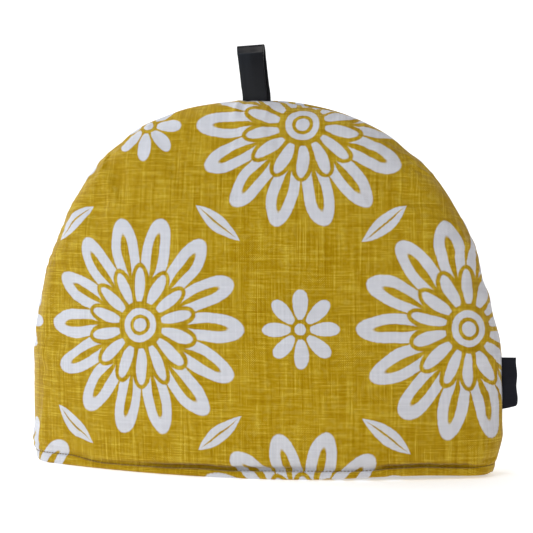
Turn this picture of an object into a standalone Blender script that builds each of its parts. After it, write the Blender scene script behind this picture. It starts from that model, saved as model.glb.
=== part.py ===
# Padded tea cosy: two wadded dome panels seamed round the arch and open at the hem,
# with a tape loop in the seam at the top and a folded ribbon label in the seam at the right.
# It stands on its hem. The front faces -Y, +Z is up, and lengths are in metres.

import math

import bmesh
import bpy
from mathutils import Vector

# The arch seam, which lies in the XZ plane
SEAM_WIDTH = 0.3434
SEAM_HEIGHT = 0.263
STRAIGHT_SIDE = 0.053  # the sides rise straight to here, and the arch starts
ARCH_POWER_LEFT = 2.22  # 2 is an ellipse, and more gives a squarer shoulder
ARCH_POWER_RIGHT = 2.35
TOP_LEAN = 0.0077  # the top sits this far left of the hem's middle
CENTRE_X = -0.00528  # the hem's middle, so that the label's edge and the left seam are equally far out

# The wadded wall
BELLY = 0.0555  # from the seam plane to the outside of a panel at its middle
WALL = 0.008
SEAM_FLANGE = 0.005  # how far the two panels meet, in from the seam
OUTER_EDGE_ROUND = 0.008
INNER_EDGE_ROUND = 0.003
PIECE_GAP = 0.0003

# The hem band is sewn 7 mm up, and from x = 20 mm to x = 75 mm it widens by a quarter
BAND_WIDER = 0.25
BAND_WIDENS_FROM = 0.020
BAND_WIDENS_TO = 0.075
BAND_EASES_FROM = 0.009
BAND_EASES_TO = 0.028
# height above the table, how far the face is drawn in, how far the left and the right side are drawn in
HEM_ROWS = (
    (0.0000, 0.0030, 0.0032, 0.0072),
    (0.0014, 0.0016, 0.0025, 0.0061),
    (0.0034, 0.0010, 0.0019, 0.0053),
    (0.0054, 0.0015, 0.0017, 0.0051),
    (0.0070, 0.0036, 0.0020, 0.0054),
    (0.0088, 0.0027, 0.0010, 0.0046),
    (0.0125, 0.0014, 0.0003, 0.0036),
    (0.0190, 0.0005, 0.0000, 0.0021),
    (0.0290, 0.0000, 0.0000, 0.0006),
    (0.0410, 0.0000, 0.0000, 0.0000),
)
HEM_DRAW_POWER = 8  # the higher, the closer to the side seams the face's draw-in still holds

# Unevenness of the wadding: size, waves across the width, waves up the height, phase
LUMPS = (
    (0.0011, 2.2, 1.3, 0.6),
    (0.0007, 3.7, 2.6, 2.1),
    (0.0005, 5.9, 1.9, 4.0),
)
# Where the arch seam bulges or is pulled in: degrees round from the right, how far out, spread in degrees
SEAM_BUMPS = (
    (11.0, 0.0006, 5.0),
    (23.0, -0.0022, 6.5),
    (36.0, 0.0007, 6.0),
    (50.0, 0.0010, 9.0),
    (106.0, 0.0006, 4.0),
    (116.0, -0.0013, 6.0),
    (131.0, 0.0012, 7.0),
    (147.0, -0.0006, 8.0),
)

# Grid of a panel
COLUMNS = 32
ARCH_ROWS = 15
EDGE_CROWDING = 0.7  # 0 spaces the grid evenly, and 1 crowds it towards the seam

# The tape loop
TAPE_WIDTH = 0.019
TAPE_THICKNESS = 0.0011
LOOP_X = -0.009
LOOP_HEIGHT = 0.0385
LOOP_ROUND = 0.0042  # radius of the fold at its top
LOOP_LEAN = math.radians(7.0)
LOOP_LEANS_OVER = 0.012  # it stands square in the seam, and leans fully this far up
LOOP_ACROSS = 4
LOOP_LEG_STEPS = 9
LOOP_FOLD_STEPS = 8

# The label, a ribbon folded in half with its fold outwards
LABEL_TOP = 0.0818
LABEL_HEIGHT = 0.0355
LABEL_OUT = 0.0103  # from the seam to the fold
LABEL_THICKNESS = 0.0005
LABEL_FOLD_ROUND = 0.00045
LABEL_CORNER_LIFT = 0.0033
LABEL_CORNER_CURL = 0.0030
LABEL_ALONG = 6
LABEL_LAYER_STEPS = 4
LABEL_FOLD_STEPS = 4

ROOT_DEPTH = 0.004  # how far the tape and the label reach into the seam
SEAM_OPENS_BEYOND = 0.007  # the seam is fully open this far past the tape or the label
SEAM_CLOSES_OVER = 0.012
OPENING_REACH = 3  # the opening fades out over this many times the round of the panel's edge

HALF_WIDTH = SEAM_WIDTH / 2
ARCH_RISE = SEAM_HEIGHT - STRAIGHT_SIDE
LOOP_SEAM_OPENING = TAPE_THICKNESS + PIECE_GAP / 2 + PIECE_GAP
LABEL_SEAM_OPENING = LABEL_FOLD_ROUND + LABEL_THICKNESS / 2 + PIECE_GAP


def smooth_step(start, end, value):
    share = min(1.0, max(0.0, (value - start) / (end - start)))
    return share * share * (3 - 2 * share)


def crowd_to_ends(value):
    """Moves a grid coordinate from -1 to 1 towards its nearer end, where the edge is round."""
    return EDGE_CROWDING * math.sin(math.pi / 2 * value) + (1 - EDGE_CROWDING) * value


def lean_at(height):
    return -TOP_LEAN * max(0.0, height - STRAIGHT_SIDE) / ARCH_RISE


def seam_opening(x, z):
    """How far each panel stands off the seam plane to make room for the tape and the label."""
    beyond_tape = abs(x - LOOP_X) - TAPE_WIDTH / 2
    if z < STRAIGHT_SIDE + ARCH_RISE / 2:
        beyond_tape = SEAM_WIDTH
    beyond_label = abs(z - (LABEL_TOP - LABEL_HEIGHT / 2)) - LABEL_HEIGHT / 2
    if x < CENTRE_X + HALF_WIDTH / 2:
        beyond_label = SEAM_WIDTH
    closed = SEAM_OPENS_BEYOND + SEAM_CLOSES_OVER
    for_tape = LOOP_SEAM_OPENING * (1 - smooth_step(SEAM_OPENS_BEYOND, closed, beyond_tape))
    for_label = LABEL_SEAM_OPENING * (1 - smooth_step(SEAM_OPENS_BEYOND, closed, beyond_label))
    return max(PIECE_GAP / 2, for_tape, for_label)


class Face:
    """Sizes of the outer or the inner face of a panel."""

    def __init__(self, inset, depth, edge_round, is_outer):
        self.half_width = HALF_WIDTH - inset
        self.rise = ARCH_RISE - inset
        self.depth = depth
        self.edge_round = edge_round
        self.is_outer = is_outer


OUTER_FACE = Face(0.0, BELLY, OUTER_EDGE_ROUND, True)
INNER_FACE = Face(SEAM_FLANGE, BELLY - WALL, INNER_EDGE_ROUND, False)


def seam_bump(degrees):
    bump = sum(out * math.exp(-(((degrees - middle) / spread) ** 2)) for middle, out, spread in SEAM_BUMPS)
    return bump * smooth_step(0.0, SEAM_BUMPS[0][0], min(degrees, 180.0 - degrees))


def hem_place(face, across, row):
    """Side to side place, height, share of the way to the seam, distance to the seam and draw-in."""
    height, drawn_in, left_drawn_in, right_drawn_in = row
    x = (face.half_width - (left_drawn_in if across < 0 else right_drawn_in)) * across
    widened = smooth_step(BAND_WIDENS_FROM, BAND_WIDENS_TO, x)
    eased = 1 - smooth_step(BAND_EASES_FROM, BAND_EASES_TO, height)
    height *= 1 + BAND_WIDER * widened * eased
    drawn_in = drawn_in if face.is_outer else 0.0
    return x, height, abs(across), face.half_width * (1 - abs(across)), drawn_in


def arch_place(face, across, up):
    """The same for the arch, whose grid lines bend from a square into a superellipse."""
    disc_x = across * math.sqrt(1 - up * up / 2)
    disc_z = up * math.sqrt(1 - across * across / 2)
    radius = min(1.0, math.hypot(disc_x, disc_z))
    angle = math.atan2(disc_z, disc_x)
    power = ARCH_POWER_LEFT if disc_x < 0 else ARCH_POWER_RIGHT
    stretch = (abs(math.cos(angle)) ** power + abs(math.sin(angle)) ** power) ** (-1 / power)
    rim = Vector((face.half_width * stretch * math.cos(angle), face.rise * stretch * math.sin(angle)))
    rim *= 1 + seam_bump(math.degrees(angle)) / rim.length
    place = rim * radius
    return place.x, STRAIGHT_SIDE + place.y, radius, rim.length * (1 - radius), 0.0


def lump(x, z, side):
    total = 0.0
    for size, wide, tall, phase in LUMPS:
        along = math.sin(wide * math.pi * x / SEAM_WIDTH + side * phase)
        total += size * along * math.cos(tall * math.pi * z / SEAM_HEIGHT)
    return total


def panel_point(face, side, across, row, up):
    """A point of the outer or inner face. side is -1 for the front panel and 1 for the back one."""
    place = hem_place(face, across, row) if row else arch_place(face, across, up)
    x, z, radius, to_seam, drawn_in = place
    vesica = (face.depth - face.edge_round) * (1 - radius**2)
    rounding = 1 - min(1.0, to_seam / face.edge_round)
    depth = vesica + face.edge_round * math.sqrt(1 - rounding**2)
    depth -= drawn_in * (1 - radius**HEM_DRAW_POWER)
    depth += lump(x, z, side) * (1 - radius**2) * smooth_step(0.0, BAND_EASES_TO, z)
    x += CENTRE_X + lean_at(z)
    opening = seam_opening(x, z) * (1 - smooth_step(0.0, OPENING_REACH * face.edge_round, to_seam))
    return Vector((x, side * (max(depth, 0.0) + max(opening, PIECE_GAP / 2)), z))


def panel(name, side, material, collection):
    """A slab of cells, bent so that one skin is the outer face and the other the inner face."""
    rows = len(HEM_ROWS) + ARCH_ROWS
    mesh = bmesh.new()
    bmesh.ops.create_grid(mesh, x_segments=COLUMNS, y_segments=rows, size=1.0)
    bmesh.ops.solidify(mesh, geom=mesh.faces[:], thickness=1.0)
    skins = sorted({round(vertex.co.z, 4) for vertex in mesh.verts})
    for vertex in mesh.verts:
        face = OUTER_FACE if round(vertex.co.z, 4) == skins[-1] else INNER_FACE
        across = crowd_to_ends(vertex.co.x)
        row_number = round((vertex.co.y + 1) / 2 * rows)
        if row_number < len(HEM_ROWS):
            vertex.co = panel_point(face, side, across, HEM_ROWS[row_number], 0.0)
        else:
            share = (row_number - len(HEM_ROWS)) / ARCH_ROWS
            vertex.co = panel_point(face, side, across, None, crowd_to_ends(share))
    if mesh.calc_volume(signed=True) < 0:
        bmesh.ops.reverse_faces(mesh, faces=mesh.faces[:])
    return finished(name, mesh, material, collection)


def loop_path_point(share):
    """Front leg up, over the fold and down the back leg: depth and height for a share from 0 to 1."""
    steps = 2 * LOOP_LEG_STEPS + LOOP_FOLD_STEPS
    step = share * steps
    root_half_gap = (TAPE_THICKNESS + PIECE_GAP) / 2
    fold_base = LOOP_HEIGHT - LOOP_ROUND - TAPE_THICKNESS / 2
    if LOOP_LEG_STEPS < step < LOOP_LEG_STEPS + LOOP_FOLD_STEPS:
        angle = math.pi * (step - LOOP_LEG_STEPS) / LOOP_FOLD_STEPS
        return -LOOP_ROUND * math.cos(angle), fold_base + LOOP_ROUND * math.sin(angle)
    is_front = step <= LOOP_LEG_STEPS
    climbed = (step if is_front else steps - step) / LOOP_LEG_STEPS
    height = -ROOT_DEPTH + climbed * (fold_base + ROOT_DEPTH)
    spread = root_half_gap + (LOOP_ROUND - root_half_gap) * smooth_step(0.0, fold_base, height)
    return (-spread if is_front else spread), height


def hanging_loop(name, material, collection):
    """A strip of tape folded over, leaning left, with both ends in the seam at the top."""
    steps = 2 * LOOP_LEG_STEPS + LOOP_FOLD_STEPS
    mesh = bmesh.new()
    bmesh.ops.create_grid(mesh, x_segments=LOOP_ACROSS, y_segments=steps, size=1.0)
    for vertex in mesh.verts:
        depth, height = loop_path_point((vertex.co.y + 1) / 2)
        aside = vertex.co.x * TAPE_WIDTH / 2
        lean = LOOP_LEAN * smooth_step(0.0, LOOP_LEANS_OVER, height)
        x = LOOP_X + aside * math.cos(lean) - height * math.sin(lean)
        z = SEAM_HEIGHT + height * math.cos(lean) + aside * math.sin(lean)
        vertex.co = Vector((x, depth, z))
    bmesh.ops.recalc_face_normals(mesh, faces=mesh.faces[:])
    strip = finished(name, mesh, material, collection)
    thicken(strip, TAPE_THICKNESS)
    return strip


def label_path_point(share):
    """Front layer out, round the fold and back in: distance out from the seam and depth."""
    steps = 2 * LABEL_LAYER_STEPS + LABEL_FOLD_STEPS
    step = share * steps
    fold_base = LABEL_OUT - LABEL_FOLD_ROUND - LABEL_THICKNESS / 2
    if LABEL_LAYER_STEPS < step < LABEL_LAYER_STEPS + LABEL_FOLD_STEPS:
        angle = math.pi * (step - LABEL_LAYER_STEPS) / LABEL_FOLD_STEPS
        return fold_base + LABEL_FOLD_ROUND * math.sin(angle), -LABEL_FOLD_ROUND * math.cos(angle)
    is_front = step <= LABEL_LAYER_STEPS
    gone = (step if is_front else steps - step) / LABEL_LAYER_STEPS
    out = -ROOT_DEPTH + gone * (fold_base + ROOT_DEPTH)
    return out, (-LABEL_FOLD_ROUND if is_front else LABEL_FOLD_ROUND)


def side_label(name, material, collection):
    """A ribbon folded in half, with both ends in the right seam and its lower corner curling back."""
    steps = 2 * LABEL_LAYER_STEPS + LABEL_FOLD_STEPS
    mesh = bmesh.new()
    bmesh.ops.create_grid(mesh, x_segments=LABEL_ALONG, y_segments=steps, size=1.0)
    for vertex in mesh.verts:
        out, depth = label_path_point((vertex.co.y + 1) / 2)
        down = (1 - vertex.co.x) / 2
        free = max(0.0, out) / LABEL_OUT
        z = LABEL_TOP - down * LABEL_HEIGHT + LABEL_CORNER_LIFT * free * down**2
        depth += LABEL_CORNER_CURL * free**2 * down
        vertex.co = Vector((CENTRE_X + HALF_WIDTH + out, depth, z))
    bmesh.ops.recalc_face_normals(mesh, faces=mesh.faces[:])
    ribbon = finished(name, mesh, material, collection)
    thicken(ribbon, LABEL_THICKNESS)
    return ribbon


def thicken(strip, thickness):
    solid = strip.modifiers.new("Thickness", "SOLIDIFY")
    solid.thickness = thickness
    solid.offset = 0.0
    solid.use_even_offset = True


def finished(name, mesh, material, collection):
    data = bpy.data.meshes.new(name)
    mesh.to_mesh(data)
    mesh.free()
    data.materials.append(material)
    data.shade_smooth()
    made = bpy.data.objects.new(name, data)
    collection.objects.link(made)
    return made


def cloth_material(name, colour, roughness):
    material = bpy.data.materials.new(name)
    material.use_nodes = True
    shader = material.node_tree.nodes["Principled BSDF"]
    shader.inputs["Base Color"].default_value = (*colour, 1.0)
    shader.inputs["Roughness"].default_value = roughness
    shader.inputs["Metallic"].default_value = 0.0
    return material


def main():
    for old in list(bpy.data.objects):
        bpy.data.objects.remove(old)
    collection = bpy.data.collections.new("tea_cosy")
    bpy.context.scene.collection.children.link(collection)
    mustard = cloth_material("mustard_linen", (0.46, 0.28, 0.02), 0.9)
    charcoal_tape = cloth_material("charcoal_tape", (0.022, 0.023, 0.027), 0.8)
    charcoal_ribbon = cloth_material("charcoal_ribbon", (0.015, 0.014, 0.019), 0.6)
    panel("front_panel", -1, mustard, collection)
    panel("back_panel", 1, mustard, collection)
    hanging_loop("hanging_loop", charcoal_tape, collection)
    side_label("side_label", charcoal_ribbon, collection)


main()
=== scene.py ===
# Padded tea cosy in printed linen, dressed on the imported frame. Lengths are in metres unless a name says mm.

import math

import bmesh
import bpy
import numpy as np
from mathutils import Matrix, Vector


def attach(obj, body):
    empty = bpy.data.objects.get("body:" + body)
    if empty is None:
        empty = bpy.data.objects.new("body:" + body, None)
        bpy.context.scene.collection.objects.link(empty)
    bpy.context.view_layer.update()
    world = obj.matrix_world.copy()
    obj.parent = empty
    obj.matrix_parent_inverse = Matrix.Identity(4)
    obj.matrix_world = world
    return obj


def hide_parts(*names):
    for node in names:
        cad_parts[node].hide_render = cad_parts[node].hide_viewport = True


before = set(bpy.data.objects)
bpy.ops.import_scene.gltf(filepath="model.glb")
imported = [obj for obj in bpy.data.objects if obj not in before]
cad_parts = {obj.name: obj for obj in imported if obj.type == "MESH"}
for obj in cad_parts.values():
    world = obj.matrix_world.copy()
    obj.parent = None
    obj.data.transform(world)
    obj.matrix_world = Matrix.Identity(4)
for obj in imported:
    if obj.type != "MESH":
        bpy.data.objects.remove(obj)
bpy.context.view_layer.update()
mm = 0.001


# Adds one node: links holds a value or another node's output for each input, settings its properties
def addNode(tree, kind, links=None, **settings):
    node = tree.nodes.new("ShaderNode" + kind)
    for name, value in settings.items():
        setattr(node, name, value)
    for key, value in (links or {}).items():
        if isinstance(value, bpy.types.NodeSocket):
            tree.links.new(value, node.inputs[key])
        else:
            node.inputs[key].default_value = value
    return node


# sRGB hex to the linear colour that Blender's sockets take
def linearColour(hexCode):
    parts = [int(hexCode[start:start + 2], 16) / 255 for start in (0, 2, 4)]
    return [part / 12.92 if part <= 0.04045 else ((part + 0.055) / 1.055) ** 2.4 for part in parts] + [1.0]


def smoothStep(start, end, value):
    share = np.clip((value - start) / (end - start), 0.0, 1.0)
    return share * share * (3 - 2 * share)


# Camera, which stands a little to the right of straight on

view = {
    "turn": 12.67,  # degrees to the right
    "rise": 2.44,  # degrees above level
    "distance": 1.15,
    "lookAt": (-0.0015, 0.0, 0.1444),
    "framed": 0.3824,  # what fits across the picture at lookAt
    "sensor": 36.0,
}


def makeCamera():
    turn, rise = math.radians(view["turn"]), math.radians(view["rise"])
    outward = Vector((math.sin(turn) * math.cos(rise), -math.cos(turn) * math.cos(rise), math.sin(rise)))
    data = bpy.data.cameras.new("camera")
    data.sensor_width = view["sensor"]
    data.lens = view["sensor"] * view["distance"] / view["framed"]
    made = bpy.data.objects.new("camera", data)
    made.location = Vector(view["lookAt"]) + outward * view["distance"]
    made.rotation_euler = outward.to_track_quat("Z", "Y").to_euler()
    bpy.context.scene.collection.objects.link(made)
    bpy.context.scene.camera = made
    print("camera placed")


makeCamera()


# The dome's own sizes, as in the solids

dome = {
    "width": 0.3434,
    "height": 0.263,
    "straightSide": 0.053,
    "powerLeft": 2.22,
    "powerRight": 2.35,
    "topLean": 0.0077,
    "centreX": -0.00528,
    "belly": 0.0555,
    "wall": 0.008,
    "flange": 0.005,
    "outerRound": 0.013,  # the wadding fills the edge more than in the solids
    "innerRound": 0.003,
    "gap": 0.0003,
    "seamGap": 0.00002,  # the stitched seam is shut, so that no light falls through
    "crowding": 0.7,  # how far the grid is crowded towards the seam, where the edge is round
    "columns": 360,
    "archRows": 70,
    "hemSteps": 3,  # rows of the mesh for each row of hemProfile
    "sideRise": 2.3,
}
dome["halfWidth"] = dome["width"] / 2
dome["rise"] = dome["height"] - dome["straightSide"]

# Bulges of the arch seam: degrees round from the right, how far out, spread in degrees
seamBumps = [
    (11.0, 0.0006, 5.0),
    (23.0, -0.0022, 6.5),
    (36.0, 0.0004, 6.0),
    (50.0, 0.0008, 9.0),
    (52.0, -0.0013, 3.0),
    (76.0, -0.0013, 7.0),
    (90.7, -0.0004, 0.7),
    (92.8, 0.0006, 1.0),
    (106.0, 0.0004, 4.0),
    (117.5, 0.0012, 4.5),
    (131.0, 0.0007, 6.0),
    (147.0, -0.0008, 8.0),
]
# The seams at the left and the right, finer than in the solids: height and how far out, in mm
sideBulge = {
    -1: [(0, 1.0), (9, 1.2), (17, 1.3), (30, 0.7), (46, 0.5), (63, 0.6), (82, 0.2), (96, -0.5),
         (115, -0.8), (135, -0.9), (158, -1.1), (172, -1.2), (190, -0.8), (206, -0.4), (230, 0.0),
         (280, 0.0)],
    1: [(0, -1.0), (5, -0.8), (11, -0.5), (17, -0.1), (23, 0.8), (29, 1.5), (36, 0.9), (48, 0.6),
        (66, 0.7), (84, 1.4), (97, 1.1), (112, 0.3), (127, 1.7), (137, 0.5), (148, 1.3), (158, 1.7),
        (170, 0.8), (186, 0.0), (200, 0.6), (212, 0.8), (240, 0.6), (262, 0.0)],
}
# Lumps of the wadding: size, waves across, waves up, phase. The last three are finer than the solids hold
lumps = [
    (0.0011, 2.2, 1.3, 0.6),
    (0.0007, 3.7, 2.6, 2.1),
    (0.0005, 5.9, 1.9, 4.0),
    (0.00022, 13.0, 9.0, 1.1),
    (0.00018, 17.0, 6.0, 3.3),
    (0.00012, 23.0, 19.0, 5.2),
]

hem = {
    "drawPower": 8,
    "liftOver": 16.0,  # mm up which the band gives way where the hem lifts off the table
    "lumpsFrom": 0.028,
    "stitchPitch": 0.0025,
    "stitchPucker": 0.00026,
    "stitchReach": 0.0022,  # how far up and down a stitch puckers the cloth
    "dragPucker": 0.00045,  # how deep the thread drags the cloth in, in uneven folds above the ditch
    "dragFade": 0.010,
    "flatInDitch": 0.0006,  # the cloth lies flat where the thread holds it
    "foldsEnd": 16,  # the higher, the nearer to the side seams the folds reach
    "panelShift": 0.031,  # so that the two panels differ
}
# Up the outside of the hem: share of the band's height, mm above the band, draw-in in mm where the wadding
# stands back from the stitched ditch, mm above and draw-in where it hangs over it, draw-in at the left
# and at the right
hemProfile = [
    (0.00, 0.0, 5.0, 0.0, 5.0, 2.4, 5.2),
    (0.00, 0.0, 3.9, 0.0, 3.9, 2.3, 5.1),
    (0.04, 0.0, 2.9, 0.0, 2.9, 2.3, 4.9),
    (0.14, 0.0, 2.0, 0.0, 2.0, 2.2, 4.6),
    (0.32, 0.0, 1.5, 0.0, 1.5, 2.0, 4.2),
    (0.54, 0.0, 1.3, 0.0, 1.2, 1.9, 3.8),
    (0.74, 0.0, 1.4, 0.0, 1.2, 1.8, 3.6),
    (0.89, 0.0, 1.7, 0.0, 1.5, 1.7, 3.5),
    (0.97, 0.0, 2.3, 0.0, 2.3, 1.8, 3.6),
    (1.00, 0.0, 3.4, 0.0, 4.2, 1.9, 3.8),
    (1.00, 0.3, 3.6, -0.25, 6.5, 1.9, 3.8),
    (1.00, 0.8, 2.9, 0.65, 7.0, 1.7, 3.6),
    (1.00, 1.5, 2.2, 1.6, 6.7, 1.4, 3.3),
    (1.00, 2.5, 1.6, 2.35, 5.4, 1.0, 2.9),
    (1.00, 4.0, 1.15, 3.0, 3.6, 0.6, 2.5),
    (1.00, 6.2, 0.75, 4.1, 2.1, 0.3, 2.1),
    (1.00, 9.5, 0.4, 6.3, 1.0, 0.1, 1.5),
    (1.00, 14.0, 0.15, 10.5, 0.35, 0.0, 0.9),
    (1.00, 21.0, 0.03, 18.0, 0.05, 0.0, 0.4),
    (1.00, 36.0, 0.0, 36.0, 0.0, 0.0, 0.0),
]
ditchRow = 10 * dome["hemSteps"]  # the deepest row, where the stitches lie
dome["hemRows"] = (len(hemProfile) - 1) * dome["hemSteps"] + 1
# Along the hem of each panel, by the place from side to side in mm: the band's height, how far the hem lifts
# off the table, both in mm, and what share of the wadding hangs over the ditch
hemLine = {
    -1: {
        "band": [(-177, 7.2), (-155, 7.4), (-140, 7.4), (-133, 6.7), (-125, 5.3), (-112, 4.2), (-99, 4.2),
                 (-80, 4.5), (-62, 4.6), (-40, 5.4), (-17, 4.9), (5, 5.3), (33, 5.8), (54, 5.8),
                 (75, 5.7), (95, 7.3), (115, 8.0), (135, 7.1), (148, 6.8), (157, 7.5), (168, 7.8)],
        "lift": [(-177, 3.6), (-171, 1.4), (-164, 0.4), (-155, 0.0), (-120, 0.0), (12, 0.0), (40, 0.3),
                 (54, 0.6), (75, 1.7), (85, 2.2), (95, 2.5), (115, 2.8), (135, 2.3), (148, 1.9),
                 (156, 1.9), (162, 3.3), (168, 6.4)],
        "over": [(-177, 0.05), (-130, 0.15), (-95, 0.3), (-70, 0.75), (-50, 1.0), (-10, 1.0), (25, 0.8),
                 (45, 0.35), (80, 0.3), (97, 0.9), (115, 1.0), (145, 0.95), (158, 0.4), (168, 0.1)],
    },
    1: {
        "band": [(-177, 6.6), (-150, 6.2), (-110, 6.8), (-60, 6.1), (-10, 6.6), (50, 6.0), (95, 6.7),
                 (140, 7.6), (168, 8.4)],
        "lift": [(-177, 4.6), (-171, 2.0), (-164, 0.6), (-155, 0.0), (-100, 0.0), (-40, 0.5), (10, 0.0),
                 (150, 0.0), (158, 1.2), (164, 3.8), (168, 7.4)],
        "over": [(-177, 0.05), (-140, 0.3), (-100, 0.8), (-50, 0.4), (0, 0.6), (60, 0.9), (110, 0.5),
                 (168, 0.1)],
    },
}

tape = {
    "width": 0.019,
    "pinched": 0.045,  # share of its width that is drawn in at the seam
    "pinchedUpTo": 0.45,  # share of its height
    "flare": 0.055,  # how much wider it lies at the top, where it is pressed flat
    "flareOver": (0.76, 0.98),
    "thickness": 0.0011,
    "x": -0.0097,
    "height": 0.0398,
    "lean": math.radians(5.1),
    "leansOver": 0.012,
    "squareness": 0.6,  # how far its top edge follows the lean
    "legShift": 0.0021,  # the back leg's foot lies a little to the right of the front one's
    "shiftOver": (0.45, 0.55),  # share of the tape's length over which that comes
    "cup": 0.0007,  # how far its edges curl back, halfway up
    "across": 14,
    "steps": 110,
    "edgeBevel": 0.0003,
}
# Middle of the tape from root to root, in mm: depth, height. Its top slopes back
tapeLine = [
    (-0.7, -4.0), (-0.75, 0.0), (-1.6, 8.0), (-2.7, 19.0), (-3.2, 28.0), (-3.15, 33.2), (-2.1, 35.4),
    (-0.85, 37.9), (-0.4, 38.8), (0.3, 39.25), (1.0, 38.9), (1.9, 37.2), (2.9, 33.0), (3.1, 28.0),
    (2.6, 19.0), (1.5, 8.0), (0.75, 0.0), (0.7, -4.0),
]
label = {
    "top": 0.0827,
    "height": 0.0361,
    "out": 0.0101,
    "thickness": 0.0005,
    "foldRound": 0.00045,
    "edgeWave": 0.00037,
    "edgeWaveFrom": 0.215,  # share of its height, as the next two are
    "edgeWaveLong": 0.5,
    "cornerFrom": 0.955,
    "edgeSlant": 0.00074,
    "cornerLift": 0.0022,
    "liftPower": 1.25,
    "cornerRound": 0.0008,
    "cornerCurl": 0.0030,
    "ripple": 0.00025,
    "ripples": 1.6,
    "along": 48,
    "layerSteps": 18,
    "foldSteps": 8,
}
rootDepth = 0.004
opening = {
    "tape": tape["thickness"] + 0.8 * dome["gap"],
    "label": label["foldRound"] + label["thickness"] / 2 + 0.3 * dome["gap"],
    "beyond": 0.0006,
    "closesOver": 0.006,
    "reachOutside": 0.024,
    "reachInside": 0.009,
}


def leanAt(height):
    return -dome["topLean"] * np.maximum(0.0, height - dome["straightSide"]) / dome["rise"]


# How far a panel stands off the seam plane to make room for the tape and the label
def seamOpening(x, z):
    beyondTape = np.abs(x - tape["x"]) - tape["width"] / 2
    beyondTape = np.where(z < dome["straightSide"] + dome["rise"] / 2, dome["width"], beyondTape)
    beyondLabel = np.abs(z - (label["top"] - label["height"] / 2)) - label["height"] / 2
    beyondLabel = np.where(x < dome["centreX"] + dome["halfWidth"] / 2, dome["width"], beyondLabel)
    closed = opening["beyond"] + opening["closesOver"]
    forTape = opening["tape"] * (1 - smoothStep(opening["beyond"], closed, beyondTape))
    forLabel = opening["label"] * (1 - smoothStep(opening["beyond"], closed, beyondLabel))
    return np.maximum(dome["seamGap"] / 2, np.maximum(forTape, forLabel))


# Columns of a table joined by a smooth curve through every row, read off at the given places
def smoothTable(table, places):
    rows = np.array(table, float)
    at = rows[:, 0]
    start = np.clip(np.searchsorted(at, places, side="right") - 1, 0, len(at) - 2)
    span = at[start + 1] - at[start]
    share = np.clip((places - at[start]) / span, 0.0, 1.0)[..., None]
    span = span[..., None]
    # Slopes that never carry the curve past a row's value
    secants = np.diff(rows[:, 1:], axis=0) / np.diff(at)[:, None]
    product = secants[:-1] * secants[1:]
    total = np.where(product > 0, secants[:-1] + secants[1:], 1.0)
    slopes = np.vstack([secants[:1], 2 * np.maximum(product, 0.0) / total, secants[-1:]])
    before, after = rows[start, 1:], rows[start + 1, 1:]
    bent = (1 + 2 * share) * (1 - share) ** 2 * before + share**2 * (3 - 2 * share) * after
    made = bent + span * share * (1 - share) * ((1 - share) * slopes[start] - share * slopes[start + 1])
    return made[..., 0] if rows.shape[1] == 2 else made


# Length along a line of points, from its first
def lengthAlong(points):
    return np.concatenate([[0.0], np.cumsum(np.linalg.norm(np.diff(points, axis=0), axis=1))])


def seamBump(degrees):
    bump = sum(out * np.exp(-(((degrees - middle) / spread) ** 2)) for middle, out, spread in seamBumps)
    return bump * smoothStep(0.0, seamBumps[0][0], np.minimum(degrees, 180.0 - degrees))


# Uneven waves that never repeat over a panel: share of the size, wave length, phase
def unevenWave(length, waves):
    return sum(size * np.sin(2 * math.pi * length / wave + phase) for size, wave, phase in waves)


dragWaves = [(0.42, 0.0137, 0.4), (0.33, 0.0211, 2.9), (0.25, 0.0083, 5.1)]
seamWaves = [(0.5, 0.0151, 1.7), (0.3, 0.0093, 0.2), (0.2, 0.0262, 4.4)]
seamPucker = {
    "depth": 0.00035,
    "reach": 0.014,
    "startsOver": (0.0015, 0.006),  # how far from the seam the folds begin
    "startAngle": 0.3,  # radians up the arch over which they come
    "arcShare": 0.93,  # mean radius of the arch, as a share of its rise
    "panelShift": 0.017,
}
backRise = {"height": 0.0014, "at": 77.0, "spread": 8.0}


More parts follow.
